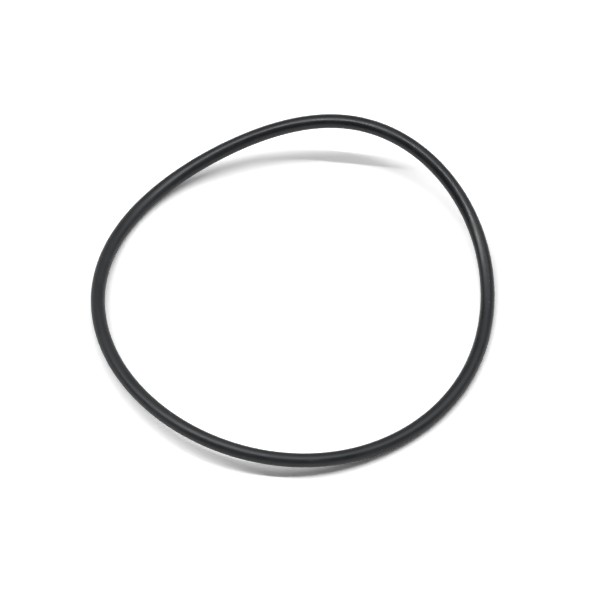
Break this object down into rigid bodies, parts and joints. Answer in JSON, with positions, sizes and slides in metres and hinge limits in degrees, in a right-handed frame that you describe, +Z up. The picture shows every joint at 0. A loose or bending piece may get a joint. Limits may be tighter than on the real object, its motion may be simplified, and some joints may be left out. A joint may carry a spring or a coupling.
{
  "type": "o-ring",
  "caption": "Rubber sealing ring of round cord, lying free: sprung a little out of round and out of flat, so its far side stands clear of the table.",
  "frame": {"origin": "on the surface the ring lies on, under the middle of its bounding box", "axes": "+Z up from the surface, +Y towards the raised side, +X to the right as the picture shows it"},
  "size_m": [0.1004, 0.0984, 0.0199],
  "materials": {
    "rubber": "matt"
  },
  "bodies": {
    "root": {"o_ring": "rubber"}
  },
  "joints": []
}
